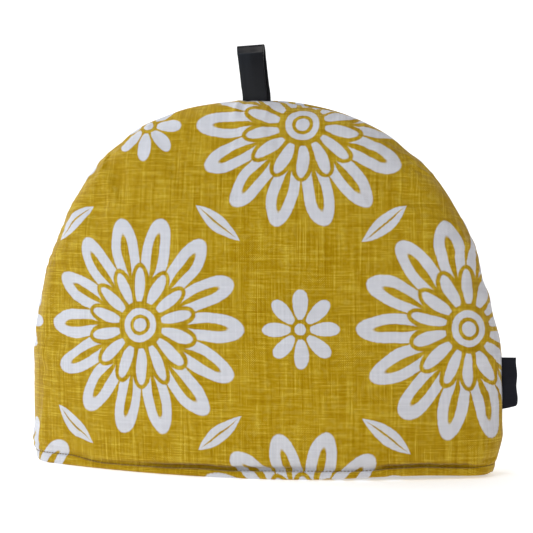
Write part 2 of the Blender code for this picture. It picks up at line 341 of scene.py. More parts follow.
# One skin of a panel as arrays over the grid, row by row from the hem to the top of the arch
def panelSkin(isOuter, side):
    inset = 0.0 if isOuter else dome["flange"]
    halfWidth, rise = dome["halfWidth"] - inset, dome["rise"] - inset
    depthMost = dome["belly"] - (0.0 if isOuter else dome["wall"])
    edgeRound = dome["outerRound"] if isOuter else dome["innerRound"]
    crowd = lambda value: dome["crowding"] * np.sin(math.pi / 2 * value) + (1 - dome["crowding"]) * value
    across = crowd(np.linspace(-1, 1, dome["columns"] + 1))

    # The hem's rows
    steps = np.linspace(0, len(hemProfile) - 1, dome["hemRows"])
    profile = smoothTable([(step, *row) for step, row in enumerate(hemProfile)], steps)[:, None, :]
    sideDraw = np.where(across < 0, profile[..., 5], profile[..., 6]) * mm
    hemX = (halfWidth - sideDraw) * across
    line = {name: smoothTable(table, (hemX + dome["centreX"]) / mm) for name, table in hemLine[side].items()}
    over = np.clip(line["over"], 0.0, 1.0) * isOuter
    height = profile[..., 0] * line["band"] + profile[..., 1] * (1 - over) + profile[..., 3] * over
    height += line["lift"] * np.maximum(0.0, 1 - height / hem["liftOver"]) ** 2
    hemZ = height * mm
    drawIn = (profile[..., 2] * (1 - over) + profile[..., 4] * over) * mm * isOuter
    hemRadius = np.abs(across) + 0 * hemX
    hemToSeam = halfWidth * (1 - np.abs(across)) + 0 * hemX

    # The arch's rows, whose grid lines bend from a square into a superellipse
    up = crowd(np.linspace(0, 1, dome["archRows"]))[:, None]
    discX = across * np.sqrt(1 - up**2 / 2)
    discZ = up * np.sqrt(1 - across**2 / 2)
    archRadius = np.minimum(1.0, np.hypot(discX, discZ))
    angle = np.arctan2(discZ, discX)
    power = np.where(discX < 0, dome["powerLeft"], dome["powerRight"])
    stretch = (np.abs(np.cos(angle)) ** power + np.abs(np.sin(angle)) ** power) ** (-1 / power)
    rimX, rimZ = halfWidth * stretch * np.cos(angle), rise * stretch * np.sin(angle)
    rim = np.hypot(rimX, rimZ)
    grown = 1 + seamBump(np.degrees(angle)) / rim
    if side > 0:
        # The back stands a little higher to the right of the loop
        fromPeak = (np.degrees(angle) - backRise["at"]) / backRise["spread"]
        grown = grown + backRise["height"] / rim * np.exp(-(fromPeak**2))

    x = np.vstack([hemX, rimX * grown * archRadius])
    z = np.vstack([hemZ, dome["straightSide"] + rimZ * grown * archRadius])
    radius = np.vstack([hemRadius, archRadius])
    toSeam = np.vstack([hemToSeam, rim * grown * (1 - archRadius)])
    drawIn = np.vstack([drawIn, 0 * rim])
    along = np.vstack([0 * hemX, angle])

    # The side seams' own unevenness
    share = np.clip((z - dome["straightSide"]) / dome["rise"], 0.0, 0.97)
    halfAt = dome["halfWidth"] * (1 - share ** dome["sideRise"]) ** (1 / dome["sideRise"])
    out = np.where(x < 0, -smoothTable(sideBulge[-1], z / mm), smoothTable(sideBulge[1], z / mm)) * mm
    x = x + out * np.minimum(1.0, np.abs(x) / halfAt) ** 2

    # Depth: a lens, rounded at the seam, with the hem's ditch and the wadding's lumps
    rounding = 1 - np.minimum(1.0, toSeam / edgeRound)
    depth = (depthMost - edgeRound) * (1 - radius**2) + edgeRound * np.sqrt(1 - rounding**2)
    depth -= drawIn * (1 - radius ** hem["drawPower"])
    lumpy = 0 * x
    for size, wide, tall, phase in lumps:
        wave = np.sin(wide * math.pi * x / dome["width"] + side * phase)
        lumpy += size * wave * np.cos(tall * math.pi * z / dome["height"])
    depth += lumpy * (1 - radius**2) * smoothStep(0.0, hem["lumpsFrom"], z)
    if isOuter:
        # Small folds where the hem's stitches and the arch seam hold the cloth
        ditchZ = hemZ[ditchRow]
        above = np.maximum(0.0, z - ditchZ)
        below = np.maximum(0.0, ditchZ - z)
        faded = np.exp(-above / hem["dragFade"]) * np.exp(-below / (hem["dragFade"] / 3))
        drag = unevenWave(x + side * hem["panelShift"], dragWaves)
        away = above + below
        tight = np.cos(2 * math.pi * x / hem["stitchPitch"]) * np.exp(-((away / hem["stitchReach"]) ** 2))
        atDitch = 1 - np.exp(-((away / hem["flatInDitch"]) ** 2))
        folds = hem["dragPucker"] * drag * faded + hem["stitchPucker"] * tight
        depth += folds * atDitch * (1 - radius ** hem["foldsEnd"])
        arc = along * dome["rise"] * seamPucker["arcShare"]
        held = np.exp(-((toSeam / seamPucker["reach"]) ** 2))
        held *= smoothStep(*seamPucker["startsOver"], toSeam)
        puckers = seamPucker["depth"] * unevenWave(arc + side * seamPucker["panelShift"], seamWaves)
        depth += puckers * held * smoothStep(0.0, seamPucker["startAngle"], along)
    x = x + dome["centreX"] + leanAt(z)
    reach = opening["reachOutside"] if isOuter else opening["reachInside"]
    parted = seamOpening(x, z) * (1 - smoothStep(0.0, reach, toSeam))
    y = side * (np.maximum(depth, 0.0) + np.maximum(parted, dome["seamGap"] / 2))
    return {"x": x, "y": y, "z": z, "rounding": rounding, "edgeRound": edgeRound}


# Length of a parabola's arc from its crown to the given place
def bowLength(place, steepness):
    slope = steepness * place
    return (place * np.sqrt(1 + slope**2) + np.arcsinh(slope) / steepness) / 2


# The cloth's own flat coordinates in metres, from the middle of the hem: across, and up
def clothPlace(skin):
    lens = dome["belly"] - dome["outerRound"]
    x, z = skin["x"] - dome["centreX"] - leanAt(skin["z"]), skin["z"]
    u = bowLength(x, 2 * lens / dome["halfWidth"] ** 2)
    aboveSide = np.maximum(0.0, z - dome["straightSide"])
    v = np.minimum(z, dome["straightSide"]) + bowLength(aboveSide, 2 * lens / dome["rise"] ** 2)
    # Over the rounded edge the cloth is longer than it looks from the front
    outX, outZ = x / dome["halfWidth"], aboveSide / dome["rise"]
    length = np.maximum(1e-6, np.hypot(outX, outZ))
    extra = skin["edgeRound"] * (np.arcsin(np.clip(skin["rounding"], 0, 1)) - skin["rounding"])
    u = u + extra * outX / length
    v = v + extra * outZ / length
    # Round the hem's fold and through its ditch, measured down from the hem's top row
    rows = dome["hemRows"]
    steps = np.hypot(np.diff(skin["y"][:rows], axis=0), np.diff(skin["z"][:rows], axis=0))
    down = np.cumsum(steps[::-1], axis=0)[::-1]
    v[: rows - 1] = v[rows - 1] - down
    return u, v


# The printed cloth over the wadding. It is a little too large, so it gathers where it is sewn down
outerCloth = {
    "everyColumn": 2,  # the simulated cloth's grid is this much coarser than the panel's
    "spare": 0.03,
    "pressure": 4.0,
    "mass": 0.2,
    "stiffness": 15.0,
    "bending": 0.05,
    "frames": 20,
    "formOver": 8,  # grid steps. Broader moves are left out, so the panel keeps its form
    "most": 0.0009,
}


# Means over a bell-shaped stretch of so many grid steps, both ways
def blurred(values, steps):
    reach = 3 * steps
    weights = np.exp(-0.5 * (np.arange(-reach, reach + 1) / steps) ** 2)
    weights /= weights.sum()
    for axis in (0, 1):
        count = values.shape[axis]
        borders = [(reach, reach) if axis == other else (0, 0) for other in range(3)]
        padded = np.pad(values, borders, mode="edge")
        values = sum(weight * np.take(padded, np.arange(start, start + count), axis=axis)
                     for start, weight in enumerate(weights))
    return values


# Column and row of a vertex in a fresh grid
def gridPlace(vertex, columns, rows):
    return round((vertex.co.x + 1) / 2 * columns), round((vertex.co.y + 1) / 2 * rows)


# Simulates a sheet through the given points, held at its border, and returns where they end
def simulateSheet(name, points, side):
    rowCount, columnCount = points.shape[:2]
    mesh = bmesh.new()
    bmesh.ops.create_grid(mesh, x_segments=columnCount - 1, y_segments=rowCount - 1, size=1.0)
    place = np.zeros((len(mesh.verts), 2), int)
    for vertex in mesh.verts:
        column, row = gridPlace(vertex, columnCount - 1, rowCount - 1)
        place[vertex.index] = row, column
        vertex.co = points[row, column]
    mesh.normal_update()
    if sum(face.normal.y for face in mesh.faces) * side < 0:
        bmesh.ops.reverse_faces(mesh, faces=mesh.faces[:])
    sheet = addObject(name, mesh)
    row, column = place[:, 0], place[:, 1]
    border = (row == 0) | (row == rowCount - 1) | (column == 0) | (column == columnCount - 1)
    held = sheet.vertex_groups.new(name="held")
    held.add([int(index) for index in np.flatnonzero(border)], 1.0, "REPLACE")
    cloth = sheet.modifiers.new("Cloth", "CLOTH")
    cloth.settings.vertex_group_mass = "held"
    cloth.settings.quality = 6
    cloth.settings.mass = outerCloth["mass"]
    cloth.settings.tension_stiffness = outerCloth["stiffness"]
    cloth.settings.compression_stiffness = outerCloth["stiffness"]
    cloth.settings.bending_stiffness = outerCloth["bending"]
    cloth.settings.shrink_min = -outerCloth["spare"]
    cloth.settings.use_pressure = True
    cloth.settings.uniform_pressure_force = outerCloth["pressure"]
    cloth.settings.effector_weights.gravity = 0.0
    cloth.collision_settings.use_self_collision = False
    cloth.point_cache.frame_start = 1
    cloth.point_cache.frame_end = outerCloth["frames"]
    for step in range(1, outerCloth["frames"] + 1):
        bpy.context.scene.frame_set(step)
    settled = sheet.evaluated_get(bpy.context.evaluated_depsgraph_get())
    flat = np.zeros(3 * len(place))
    settled.data.vertices.foreach_get("co", flat)
    ended = np.zeros_like(points)
    ended[row, column] = flat.reshape(-1, 3)
    data = sheet.data
    bpy.data.objects.remove(sheet)
    bpy.data.meshes.remove(data)
    bpy.context.scene.frame_set(1)
    return ended


def tellMoves(title, moved):
    sizes = np.linalg.norm(moved, axis=2)
    mean, most = float(sizes.mean()) / mm, float(sizes.max()) / mm
    print(title, "in mm: mean", round(mean, 2), "most", round(most, 2))


# Lets the outer cloth settle above its ditch, held there and along the seam, and moves the skin with it
def settleCloth(name, skin, side):
    started = np.stack([skin["x"], skin["y"], skin["z"]], axis=2)
    rows = np.concatenate([np.arange(ditchRow, dome["hemRows"], dome["hemSteps"]),
                           np.arange(dome["hemRows"] + 1, len(started))])
    columns = np.arange(0, dome["columns"] + 1, outerCloth["everyColumn"])
    coarse = started[np.ix_(rows, columns)]
    rowCount, columnCount = len(rows), len(columns)
    moved = simulateSheet(name, coarse, side) - coarse
    tellMoves(name + " moved", moved)
    moved -= blurred(moved, outerCloth["formOver"])
    size = np.linalg.norm(moved, axis=2, keepdims=True)
    moved *= outerCloth["most"] * np.tanh(size / outerCloth["most"]) / np.maximum(size, 1e-9)
    fromHem, fromTop = np.arange(rowCount)[:, None], rowCount - 1 - np.arange(rowCount)[:, None]
    fromSide = np.minimum(np.arange(columnCount), columnCount - 1 - np.arange(columnCount))[None, :]
    free = smoothStep(0, 3, fromHem) * smoothStep(0, 2, fromTop) * smoothStep(0, 2, fromSide)
    moved *= free[..., None]
    tellMoves(name + " folds", moved)
    # From the coarse grid back to the panel's own
    table = np.column_stack([rows, moved.reshape(rowCount, -1)])
    moved = smoothTable(table, np.arange(len(started))).reshape(len(started), columnCount, 3).swapaxes(0, 1)
    table = np.column_stack([columns, moved.reshape(columnCount, -1)])
    moved = smoothTable(table, np.arange(dome["columns"] + 1)).reshape(-1, len(started), 3).swapaxes(0, 1)
    for number, axis in enumerate("xyz"):
        skin[axis] = skin[axis] + moved[..., number]
    skin["y"] = side * np.maximum(side * skin["y"], dome["seamGap"] / 2)


# A panel is a slab of cells, bent so that one skin is the outer face and the other the inner face
def makePanel(name, side, materials):
    columns, rows = dome["columns"], dome["hemRows"] + dome["archRows"] - 1
    mesh = bmesh.new()
    bmesh.ops.create_grid(mesh, x_segments=columns, y_segments=rows, size=1.0)
    bmesh.ops.solidify(mesh, geom=mesh.faces[:], thickness=1.0)
    top = max(vertex.co.z for vertex in mesh.verts)
    skins = {True: panelSkin(True, side), False: panelSkin(False, side)}
    cloth = {key: clothPlace(skin) for key, skin in skins.items()}
    settleCloth(name + "_cloth", skins[True], side)
    uvLayer = mesh.loops.layers.uv.new("cloth")
    where = {}
    for vertex in mesh.verts:
        isOuter = vertex.co.z > top - 0.5
        column, row = gridPlace(vertex, columns, rows)
        where[vertex.index] = (isOuter, row, column)
        skin = skins[isOuter]
        vertex.co = (skin["x"][row, column], skin["y"][row, column], skin["z"][row, column])
    for face in mesh.faces:
        face.smooth = True
        face.material_index = 0 if any(where[vertex.index][0] for vertex in face.verts) else 1
        for loop in face.loops:
            isOuter, row, column = where[loop.vert.index]
            u, v = cloth[isOuter]
            loop[uvLayer].uv = (side * -u[row, column], v[row, column])
    if mesh.calc_volume(signed=True) < 0:
        bmesh.ops.reverse_faces(mesh, faces=mesh.faces[:])
    made = finishPiece(name, mesh, materials)
    return made, skins[True]


def addObject(name, mesh, materials=()):
    data = bpy.data.meshes.new(name)
    mesh.to_mesh(data)
    mesh.free()
    for material in materials:
        data.materials.append(material)
    made = bpy.data.objects.new(name, data)
    bpy.context.scene.collection.objects.link(made)
    return made


def finishPiece(name, mesh, materials):
    made = addObject(name, mesh, materials)
    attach(made, "root")
    return made


# Materials

weave = {
    "thread": 0.7,  # mm from one thread to the next
    "wander": 0.9,  # mm that the threads wander to and fro
    "wanderOver": 60.0,
    "evenFor": {"warp": 45.0, "weft": 24.0},  # mm for which a thread keeps its shade
    "slubFor": {"warp": 30.0, "weft": 20.0},  # mm for which a thread may be thick
    "slubsFrom": {"warp": 0.62, "weft": 0.58},  # lower is more slubs
    "slubOver": 0.08,
    "toneDepth": {"warp": 0.37, "weft": 0.28},  # how strongly threads differ
    "slubDepth": {"warp": 0.14, "weft": 0.16},  # how much paler the thick places are
    "roundDepth": 0.1,  # how round threads look
    "bandWide": 3.0,  # mm across the soft bands where threads lie closer
    "bandLong": 260.0,
    "bandDepth": 0.08,
    "crossingDepth": 0.12,  # how strongly single crossings differ
    "checkDepth": 1.7,  # how strongly warp and weft part into a fine check, here and there
    "checkOver": 5.0,
}


# Thread by thread unevenness of a plain slub weave: returns its shade round 0 and its height
def addWeave(tree, place):
    drift = addNode(tree, "TexNoise", {"Vector": place, "Scale": 1 / weave["wanderOver"], "Detail": 0.0},
                    noise_dimensions="2D")
    centred = addNode(tree, "VectorMath", {0: drift.outputs[1], 1: (0.5, 0.5, 0.5)}, operation="SUBTRACT")
    moved = addNode(tree, "VectorMath", {0: centred.outputs[0], 1: (weave["wander"],) * 3, 2: place},
                    operation="MULTIPLY_ADD")
    parts = addNode(tree, "SeparateXYZ", {0: moved.outputs[0]})
    made = {"warpAcross": parts.outputs[0], "weftAcross": parts.outputs[1]}
    made["warpAlong"], made["weftAlong"] = made["weftAcross"], made["warpAcross"]
    # Each thread has its own shade, which changes slowly along it, and its own thick places
    steps = {"warpTone": 7.31, "weftTone": 5.77, "warpThick": 3.17, "weftThick": 9.43}
    for yarn in ("warp", "weft"):
        addSums(tree, made, [
            (yarn + "Place", "DIVIDE", yarn + "Across", weave["thread"]),
            (yarn + "Number", "FLOOR", yarn + "Place"),
            (yarn + "Phase", "MULTIPLY", yarn + "Place", math.pi),
            (yarn + "Sine", "SINE", yarn + "Phase"),
            (yarn + "Round", "ABSOLUTE", yarn + "Sine"),
        ])
        lengths = {yarn + "Tone": weave["evenFor"][yarn], yarn + "Thick": weave["slubFor"][yarn]}
        for name, length in lengths.items():
            step = steps[name]
            stepped = addNode(tree, "Math", {0: made[yarn + "Number"], 1: step, 2: step * 5.3},
                              operation="MULTIPLY_ADD")
            run = addNode(tree, "Math", {0: made[yarn + "Along"], 1: length}, operation="DIVIDE")
            joined = addNode(tree, "CombineXYZ", {0: stepped.outputs[0], 1: run.outputs[0]})
            noise = addNode(tree, "TexNoise", {"Vector": joined.outputs[0], "Scale": 1.0, "Detail": 0.0},
                            noise_dimensions="2D")
            made[name] = noise.outputs[0]
        slubsFrom = weave["slubsFrom"][yarn]
        slub = addNode(tree, "MapRange", {"Value": made[yarn + "Thick"], "From Min": slubsFrom,
                                          "From Max": slubsFrom + weave["slubOver"]})
        made[yarn + "Slub"] = slub.outputs[0]
        depth = weave["toneDepth"][yarn]
        addSums(tree, made, [
            (yarn + "Shade", "MULTIPLY_ADD", yarn + "Tone", depth, -depth / 2),
            (yarn + "Full", "MULTIPLY_ADD", yarn + "Slub", weave["slubDepth"][yarn], yarn + "Shade"),
        ])
    bands = [("warpBand", (1 / weave["bandWide"], 1 / weave["bandLong"], 1.0)),
             ("weftBand", (1 / weave["bandLong"], 1.4 / weave["bandWide"], 1.0))]
    for name, scale in bands:
        stretched = addNode(tree, "Mapping", {"Vector": moved.outputs[0], "Scale": scale})
        noise = addNode(tree, "TexNoise", {"Vector": stretched.outputs[0], "Scale": 1.0, "Detail": 1.0},
                        noise_dimensions="2D")
        made[name] = noise.outputs[0]
    crossing = addNode(tree, "CombineXYZ", {0: made["warpNumber"], 1: made["weftNumber"]})
    speck = addNode(tree, "TexWhiteNoise", {"Vector": crossing.outputs[0]}, noise_dimensions="2D")
    patch = addNode(tree, "TexNoise", {"Vector": place, "Scale": 1 / weave["checkOver"], "Detail": 0.0},
                    noise_dimensions="2D")
    made["speck"], made["patch"] = speck.outputs[0], patch.outputs[0]
    # What all that is added comes to on average, so that the shade lies round 0
    middle = 0.64 * weave["roundDepth"] + weave["crossingDepth"] / 2 + 0.65 * weave["bandDepth"] + 0.05
    addSums(tree, made, [
        ("crossing", "ADD", "warpNumber", "weftNumber"),
        ("warpOver", "FLOORED_MODULO", "crossing", 2.0),
        ("lines", "ADD", "warpFull", "weftFull"),
        ("swing", "SUBTRACT", "warpRound", "weftRound"),
        ("round", "MULTIPLY_ADD", "swing", "warpOver", "weftRound"),
        ("rounded", "MULTIPLY_ADD", "round", weave["roundDepth"], "lines"),
        ("bandSum", "MULTIPLY_ADD", "weftBand", 0.3, "warpBand"),
        ("banded", "MULTIPLY_ADD", "bandSum", weave["bandDepth"], "rounded"),
        ("specked", "MULTIPLY_ADD", "speck", weave["crossingDepth"], "banded"),
        ("check", "SUBTRACT", "warpOver", 0.5),
        ("patchy", "SUBTRACT", "patch", 0.5),
        ("checkPatchy", "MULTIPLY", "check", "patchy"),
        ("checked", "MULTIPLY_ADD", "checkPatchy", weave["checkDepth"], "specked"),
        ("shade", "SUBTRACT", "checked", middle),
        ("slubs", "MAXIMUM", "warpSlub", "weftSlub"),
        ("height", "MULTIPLY_ADD", "slubs", 0.4, "round"),
    ])
    return made


# Works a table of sums into nodes: name, operation, then names of earlier results or numbers
def addSums(tree, made, sums):
    for name, operation, *terms in sums:
        links = {number: made.get(term, term) for number, term in enumerate(terms)}
        made[name] = addNode(tree, "Math", links, operation=operation).outputs[0]


printed = {
    "repeatWide": 232.0,  # mm from one large daisy to the next in its row
    "repeatTall": 292.0,
    "bleed": (1.6, 0.35),  # over how many mm, and by how many, the ink creeps along the threads
    "wobble": (34.0, 2.2),  # the same for the hand-drawn outlines
    "edge": 0.35,
    "leafLong": 20.0,
    "leafWide": 5.8,
    "veinWide": 0.16,
    "veinEnds": 0.25,
}
# Rings of oval petals, in mm: petals, middle of the petal from the flower's centre, half its length,
# half its width, turn in petals, how much wider its outer end is
largeDaisy = {
    "outer": (14, 48.0, 29.0, 9.8, 0.0, 0.24),
    "vein": (14, 49.0, 17.0, 2.6, 0.0, 0.35),
    "innerEdge": (14, 27.5, 16.5, 7.4, 0.5, 0.1),
    "inner": (14, 28.0, 12.8, 4.1, 0.5, 0.1),
}
smallDaisy = (8, 16.5, 10.5, 4.9, 0.0, 0.2)
# Round middles of the daisies: the ring whose centre each has, and its radius in mm
rounds = {
    "eyeEdge": ("outer", 16.5),
    "eye": ("outer", 12.0),
    "pupilEdge": ("outer", 7.4),
    "pupil": ("outer", 4.8),
    "smallEdge": ("small", 6.6),
    "smallEye": ("small", 3.8),
}
# White and mustard go on in turn, the later over the earlier
layers = [
    ("leafFull", 1.0), ("leafVein", 0.0), ("outer", 1.0), ("vein", 0.0), ("innerEdge", 0.0), ("inner", 1.0),
    ("eyeEdge", 0.0), ("eye", 1.0), ("pupilEdge", 0.0), ("pupil", 1.0),
    ("small", 1.0), ("smallEdge", 0.0), ("smallEye", 1.0),
]


def petalRing(name, dx, dy, ring):
    petals, middle, halfLength, halfWidth, turn, flare = ring
    half = math.pi / petals
    return [
        (name + "Angle", "ARCTAN2", dy, dx),
        (name + "Turned", "ADD", name + "Angle", 2 * half * turn),
        (name + "Sector", "WRAP", name + "Turned", half, -half),
        (name + "XX", "MULTIPLY", dx, dx),
        (name + "RR", "MULTIPLY_ADD", dy, dy, name + "XX"),
        (name + "R", "SQRT", name + "RR"),
        (name + "Cos", "COSINE", name + "Sector"),
        (name + "Sin", "SINE", name + "Sector"),
        (name + "Along", "MULTIPLY_ADD", name + "R", name + "Cos", -middle),
        (name + "Aside", "MULTIPLY", name + "R", name + "Sin"),
        (name + "Long", "DIVIDE", name + "Along", halfLength),
        (name + "Wide", "MULTIPLY_ADD", name + "Long", halfWidth * flare, halfWidth),
        (name + "Over", "DIVIDE", name + "Aside", name + "Wide"),
        (name + "LL", "MULTIPLY", name + "Long", name + "Long"),
        (name + "Sum", "MULTIPLY_ADD", name + "Over", name + "Over", name + "LL"),
        (name + "Root", "SQRT", name + "Sum"),
        (name + "Inside", "SUBTRACT", 1.0, name + "Root"),
        (name, "MULTIPLY_ADD", name + "Inside", halfWidth / printed["edge"], 0.5),
    ]


# White where the daisies, small blossoms and leaves are, from the cloth's place in mm
def addPrint(tree, place, shift):
    halfWide, halfTall = printed["repeatWide"] / 2, printed["repeatTall"] / 2
    strayed = place
    for size, depth in (printed["bleed"], printed["wobble"]):
        noise = addNode(tree, "TexNoise", {"Vector": place, "Scale": 1 / size, "Detail": 1.0},
                        noise_dimensions="2D")
        centred = addNode(tree, "VectorMath", {0: noise.outputs[1], 1: (0.5, 0.5, 0.5)},
                          operation="SUBTRACT")
        moved = addNode(tree, "VectorMath", {0: centred.outputs[0], 1: (2 * depth,) * 3, 2: strayed},
                        operation="MULTIPLY_ADD")
        strayed = moved.outputs[0]
    parts = addNode(tree, "SeparateXYZ", {0: strayed})
    made = {"u": parts.outputs[0], "v": parts.outputs[1]}
    slant = math.hypot(halfWide, halfTall)
    leanX, leanY = halfWide / slant, halfTall / slant
    sums = [
        ("a", "ADD", "u", shift[0]),
        ("b", "ADD", "v", shift[1]),
        ("aHalf", "SUBTRACT", "a", halfWide),
        ("bHalf", "SUBTRACT", "b", halfTall),
        ("ax", "WRAP", "a", halfWide, -halfWide),
        ("ay", "WRAP", "b", halfTall, -halfTall),
        ("bx", "WRAP", "aHalf", halfWide, -halfWide),
        ("by", "WRAP", "bHalf", halfTall, -halfTall),
        # The nearer of the two rows of large daisies
        ("axx", "MULTIPLY", "ax", "ax"),
        ("arr", "MULTIPLY_ADD", "ay", "ay", "axx"),
        ("bxx", "MULTIPLY", "bx", "bx"),
        ("brr", "MULTIPLY_ADD", "by", "by", "bxx"),
        ("first", "LESS_THAN", "arr", "brr"),
        ("spanX", "SUBTRACT", "ax", "bx"),
        ("spanY", "SUBTRACT", "ay", "by"),
        ("dx", "MULTIPLY_ADD", "spanX", "first", "bx"),
        ("dy", "MULTIPLY_ADD", "spanY", "first", "by"),
        # The nearer of the two rows of small daisies, which fill the gaps
        ("crr", "MULTIPLY_ADD", "ay", "ay", "bxx"),
        ("drr", "MULTIPLY_ADD", "by", "by", "axx"),
        ("second", "LESS_THAN", "crr", "drr"),
        ("spanSX", "SUBTRACT", "bx", "ax"),
        ("spanSY", "SUBTRACT", "ay", "by"),
        ("sx", "MULTIPLY_ADD", "spanSX", "second", "ax"),
        ("sy", "MULTIPLY_ADD", "spanSY", "second", "by"),
        # Leaves stand across the line from one large daisy to the next
        ("waveA", "MULTIPLY", "a", math.pi / halfWide),
        ("waveB", "MULTIPLY", "b", math.pi / halfTall),
        ("sinA", "SINE", "waveA"),
        ("sinB", "SINE", "waveB"),
        ("sinAB", "MULTIPLY", "sinA", "sinB"),
        ("way", "SIGN", "sinAB"),
        ("lx", "WRAP", "a", halfWide, 0.0),
        ("ly", "WRAP", "b", halfTall, 0.0),
        ("leafX", "SUBTRACT", "lx", halfWide / 2),
        ("leafY", "SUBTRACT", "ly", halfTall / 2),
        ("leafWX", "MULTIPLY", "leafX", "way"),
        ("leafWY", "MULTIPLY", "leafY", "way"),
        ("leafP1", "MULTIPLY", "leafX", leanY),
        ("leafP", "MULTIPLY_ADD", "leafWY", -leanX, "leafP1"),
        ("leafQ1", "MULTIPLY", "leafY", leanY),
        ("leafQ", "MULTIPLY_ADD", "leafWX", leanX, "leafQ1"),
        ("leafQA", "ABSOLUTE", "leafQ"),
        ("leafShare", "DIVIDE", "leafP", printed["leafLong"]),
        ("leafSS", "MULTIPLY", "leafShare", "leafShare"),
        ("leafHalf", "MULTIPLY_ADD", "leafSS", -printed["leafWide"], printed["leafWide"]),
        ("leafIn", "SUBTRACT", "leafHalf", "leafQA"),
        ("leafFull", "MULTIPLY_ADD", "leafIn", 1 / printed["edge"], 0.5),
        ("leafMid", "MULTIPLY_ADD", "leafHalf", printed["veinWide"], -printed["veinEnds"]),
        ("leafVeinIn", "SUBTRACT", "leafMid", "leafQA"),
        ("leafVein", "MULTIPLY_ADD", "leafVeinIn", 1 / printed["edge"], 0.5),
    ]
    for name, ring in largeDaisy.items():
        sums += petalRing(name, "dx", "dy", ring)
    sums += petalRing("small", "sx", "sy", smallDaisy)
    for name, (ring, radius) in rounds.items():
        sums += [
            (name + "In", "SUBTRACT", radius, ring + "R"),
            (name, "MULTIPLY_ADD", name + "In", 1 / printed["edge"], 0.5),
        ]
    addSums(tree, made, sums)
    white = 0.0
    for name, shade in layers:
        mixed = addNode(tree, "Mix", {0: made[name], 2: white, 3: shade}, clamp_factor=True)
        white = mixed.outputs[0]
    return white


def startMaterial(name):
    material = bpy.data.materials.new(name)
    material.use_nodes = True
    return material, material.node_tree


# A new cloth, and the place on it in mm when it lies flat
def startCloth(name):
    material, tree = startMaterial(name)
    flat = addNode(tree, "UVMap", uv_map="cloth")
    place = addNode(tree, "VectorMath", {0: flat.outputs[0], 1: (1 / mm,) * 3}, operation="MULTIPLY")
    return material, tree, place.outputs[0]


# Joins a cloth's colour and relief to its shader, and sets the shader's own values
def finishCloth(tree, cloth, colour, height):
    shader = tree.nodes["Principled BSDF"]
    bump = addNode(tree, "Bump", {"Strength": cloth["bump"], "Distance": cloth["bumpDeep"] * mm,
                                  "Height": height})
    tree.links.new(colour.outputs[2], shader.inputs["Base Color"])
    tree.links.new(bump.outputs[0], shader.inputs["Normal"])
    for name, value in cloth["shader"].items():
        shader.inputs[name].default_value = value


linen = {
    "inkDeep": "946e00",
    "ink": "b18c0c",
    "inkPale": "d6b942",
    "inkShades": (-0.3, 0.0, 0.4),  # shades of the weave at which the ink has these three colours
    "bareDeep": "c4c3c7",
    "bare": "dddce0",
    "bareShades": (-0.4, 0.4),
    "bump": 0.35,
    "bumpDeep": 0.35,  # mm
    "shader": {"Roughness": 0.9, "Sheen Weight": 0.25, "Sheen Roughness": 0.4, "Specular IOR Level": 0.03},
}


# Linen and cotton slub weave, printed with mustard ink: matt, with paler slubs that take less ink
def printedLinen(name, shift):
    material, tree, place = startCloth(name)
    threads = addWeave(tree, place)
    white = addPrint(tree, place, shift)
    deepAt, inkAt, paleAt = linen["inkShades"]
    bareDeepAt, bareAt = linen["bareShades"]
    low = addNode(tree, "MapRange", {"Value": threads["shade"], "From Min": deepAt, "From Max": inkAt})
    high = addNode(tree, "MapRange", {"Value": threads["shade"], "From Min": inkAt, "From Max": paleAt})
    darker = addNode(tree, "Mix", {0: low.outputs[0], 6: linearColour(linen["inkDeep"]),
                                   7: linearColour(linen["ink"])}, data_type="RGBA")
    ink = addNode(tree, "Mix", {0: high.outputs[0], 6: darker.outputs[2], 7: linearColour(linen["inkPale"])},
                  data_type="RGBA")
    bareTone = addNode(tree, "MapRange", {"Value": threads["shade"], "From Min": bareDeepAt,
                                          "From Max": bareAt})
    bare = addNode(tree, "Mix", {0: bareTone.outputs[0], 6: linearColour(linen["bareDeep"]),
                                 7: linearColour(linen["bare"])}, data_type="RGBA")
    colour = addNode(tree, "Mix", {0: white, 6: ink.outputs[2], 7: bare.outputs[2]}, data_type="RGBA")
    finishCloth(tree, linen, colour, threads["height"])
    return material


calicoCloth = {
    "deep": "c9bfa8",
    "pale": "ded7c6",
    "shades": (-0.3, 0.3),
    "bump": 0.3,
    "bumpDeep": 0.25,
    "shader": {"Roughness": 0.9},
}


# Unprinted cotton calico, the inside face of a panel: warm off-white, matt
def plainCalico(name):
    material, tree, place = startCloth(name)
    threads = addWeave(tree, place)
    deepAt, paleAt = calicoCloth["shades"]
    tone = addNode(tree, "MapRange", {"Value": threads["shade"], "From Min": deepAt, "From Max": paleAt})
    colour = addNode(tree, "Mix", {0: tone.outputs[0], 6: linearColour(calicoCloth["deep"]),
                                   7: linearColour(calicoCloth["pale"])}, data_type="RGBA")
    finishCloth(tree, calicoCloth, colour, threads["height"])
    return material


twill = {
    "ribWide": 0.9,  # mm
    "turnsAfter": 4.75,  # mm. The ribs turn back at each quarter of the tape's width
    "ribDepth": 0.12,
    "streaks": (1.3, 0.03, 1.0),  # to the mm across and along the tape
    "streakDepth": 0.8,
    "deep": "090a0d",
    "pale": "111217",
    "shades": (0.5, 1.3),
    "bump": 0.1,
    "bumpDeep": 0.12,
    "shader": {"Roughness": 0.28, "Specular IOR Level": 0.24},
}


